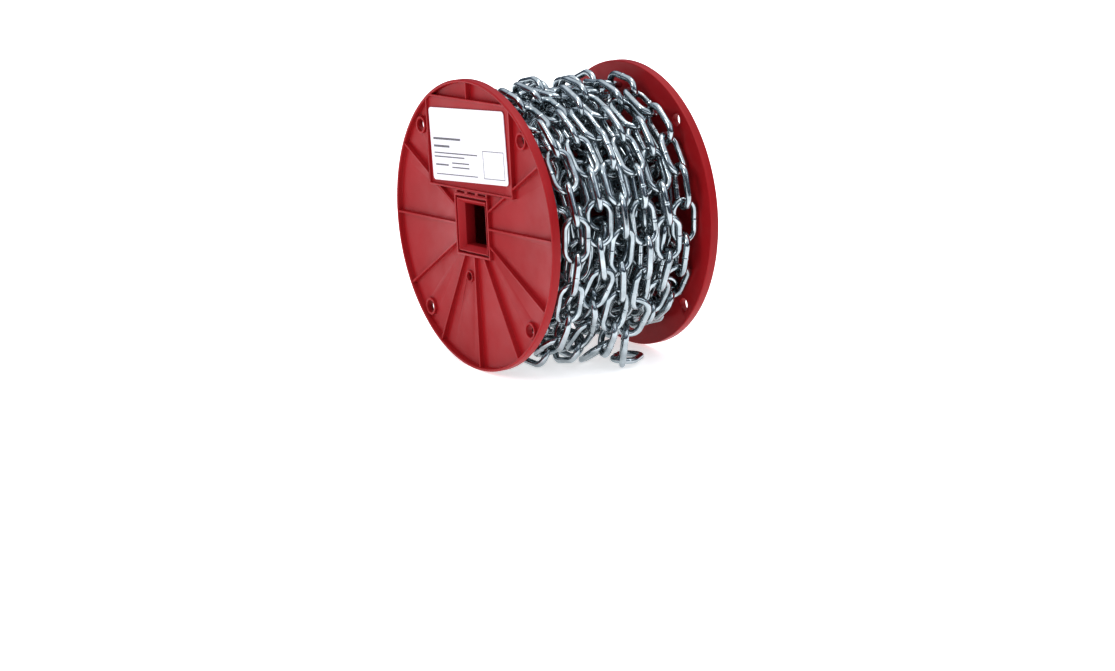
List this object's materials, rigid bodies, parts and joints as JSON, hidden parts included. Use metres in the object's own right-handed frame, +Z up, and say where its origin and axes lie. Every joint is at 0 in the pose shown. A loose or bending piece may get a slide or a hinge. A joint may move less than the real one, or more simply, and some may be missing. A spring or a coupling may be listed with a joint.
{
  "type": "reel of steel chain",
  "caption": "moulded red plastic reel lying on its flange rims, wound with bright zinc-plated steel link chain whose free end hangs down to the floor",
  "frame": {"origin": "on the floor below the middle of the reel", "axes": "+Z up, Y along the reel's axis with the label side towards -Y, +X towards the side where the chain's end hangs"},
  "size_m": [0.216, 0.145, 0.216],
  "materials": {
    "reel_plastic": "moulded, lightly scuffed",
    "label_paper": "smooth white label stock",
    "chain_steel": "bright zinc plated"
  },
  "bodies": {
    "root": {"flange_label_side": "reel_plastic", "flange_far_side": "reel_plastic", "drum": "reel_plastic", "label": "label_paper", "inner_turns": "chain_steel", "chain_turn_1": "chain_steel", "chain_turn_2": "chain_steel", "chain_turn_3": "chain_steel", "chain_turn_4": "chain_steel", "chain_turn_5": "chain_steel", "chain_turn_6": "chain_steel", "chain_free_end": "chain_steel"}
  },
  "joints": []
}
